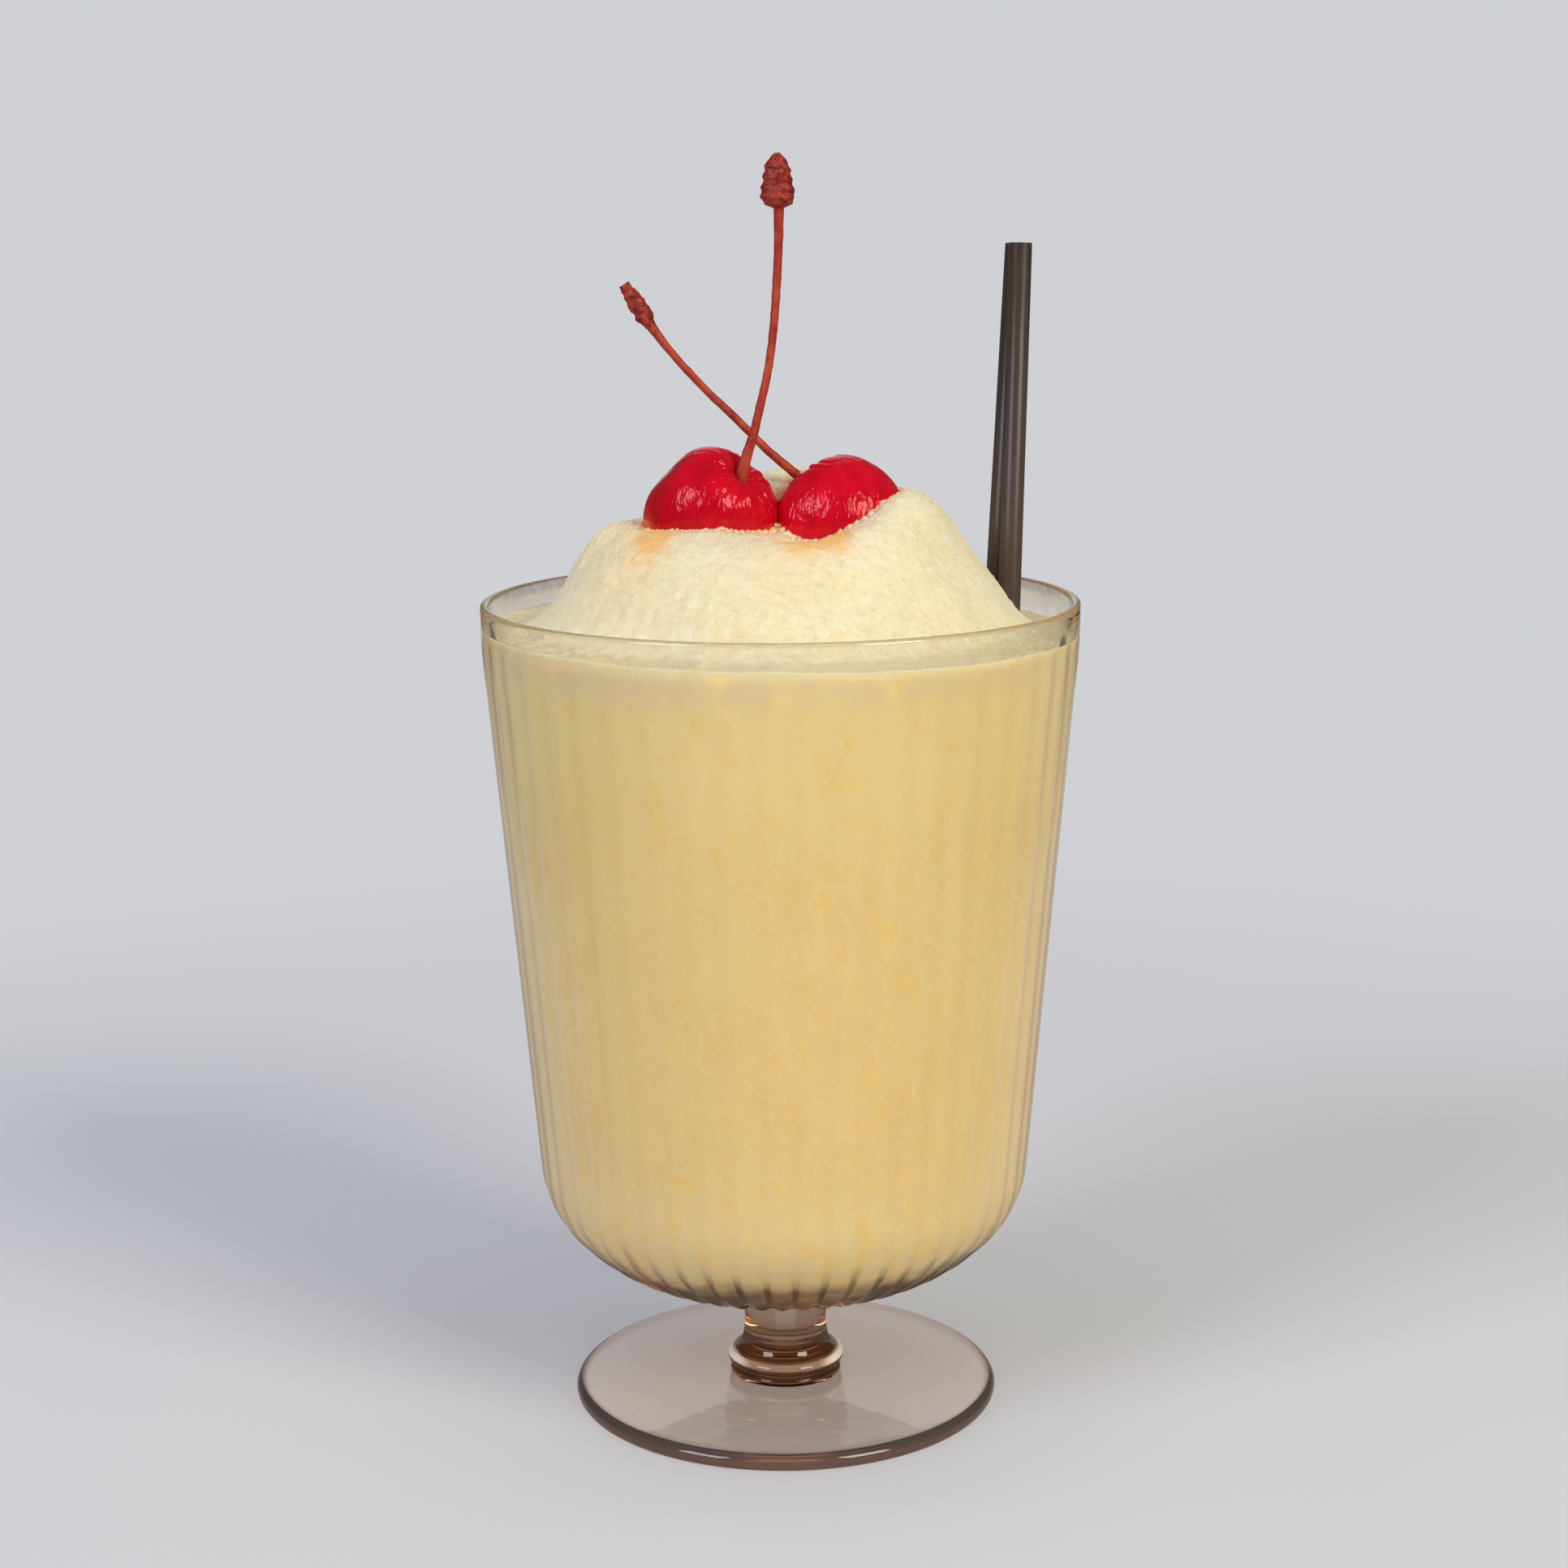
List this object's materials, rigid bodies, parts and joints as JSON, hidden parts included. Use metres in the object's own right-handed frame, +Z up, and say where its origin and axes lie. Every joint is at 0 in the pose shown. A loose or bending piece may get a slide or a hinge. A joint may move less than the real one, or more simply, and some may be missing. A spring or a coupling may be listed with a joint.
{
  "type": "pina colada",
  "caption": "Blended iced drink mounded above the rim of a ribbed, stemmed glass of smoky colour, topped with red cherries on their stems and with sip straws standing in it.",
  "frame": {"origin": "middle of the foot's underside, on the surface that the glass stands on", "axes": "+Z up the glass, -Y towards the viewer of the picture, +X to that viewer's right"},
  "size_m": [0.088, 0.088, 0.1873],
  "materials": {
    "glass": "polished clear glass with a smoky brown tint, ribbed outside",
    "drink": "blended ice, pale pineapple yellow, fine wet crystals",
    "cherry": "wet syrupy skin, deep red, slightly wrinkled",
    "stem": "fine woody stem dyed brick red, with a rough bud end",
    "straw": "thin brown-black plastic tube, slightly see-through"
  },
  "bodies": {
    "root": {"glass": "glass", "drink": "drink", "cherry_left": "cherry", "cherry_right": "cherry", "stem_left": "stem", "stem_right": "stem", "straw_front": "straw", "straw_back": "straw"}
  },
  "joints": []
}
